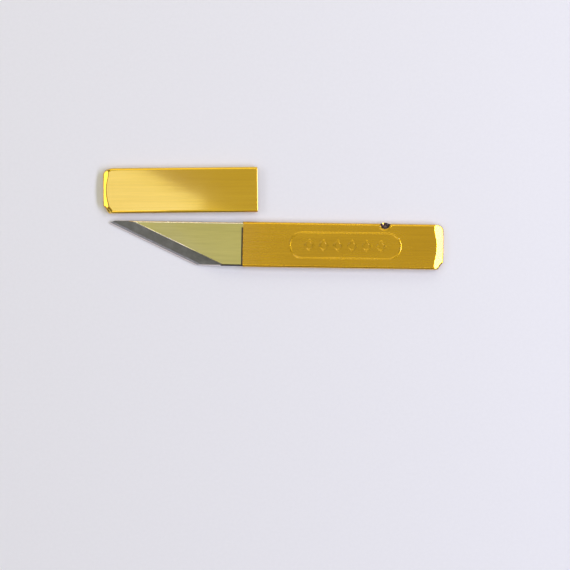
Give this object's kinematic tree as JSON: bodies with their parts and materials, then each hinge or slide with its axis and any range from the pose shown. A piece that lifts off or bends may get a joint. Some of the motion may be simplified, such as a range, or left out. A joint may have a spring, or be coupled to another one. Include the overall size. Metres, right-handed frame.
{
  "type": "kiridashi knife",
  "caption": "Slim single-bevel kiridashi craft knife: slanted laminated blade staked into a flat brass sleeve, with a matching flat brass cap drawn off and laid beside it.",
  "frame": {"origin": "middle of the handle's flat back face, which the knife lies on", "axes": "+X along the knife from the blade's tip to the handle's closed end, +Y from the cutting edge to the spine, +Z out of the bevelled front face"},
  "size_m": [0.1191, 0.035, 0.0028],
  "materials": {
    "iron_body": "ground flat along the blade under a yellowish clear lacquer, with black forge scale on the tang and lower side",
    "steel_edge": "ground grey steel",
    "handle_brass": "satin, brushed along its length",
    "cap_brass": "satin, brushed along its length"
  },
  "bodies": {
    "knife": {"blade_iron": "iron_body", "blade_steel": "steel_edge", "handle_sleeve": "handle_brass"},
    "cap": {"cap_sleeve": "cap_brass"}
  },
  "joints": [
    {"name": "cap_slide", "type": "slide", "parent": "knife", "child": "cap", "axis": [-0.9997, -0.0244, 0], "range_m": [0, 0.052]}
  ]
}
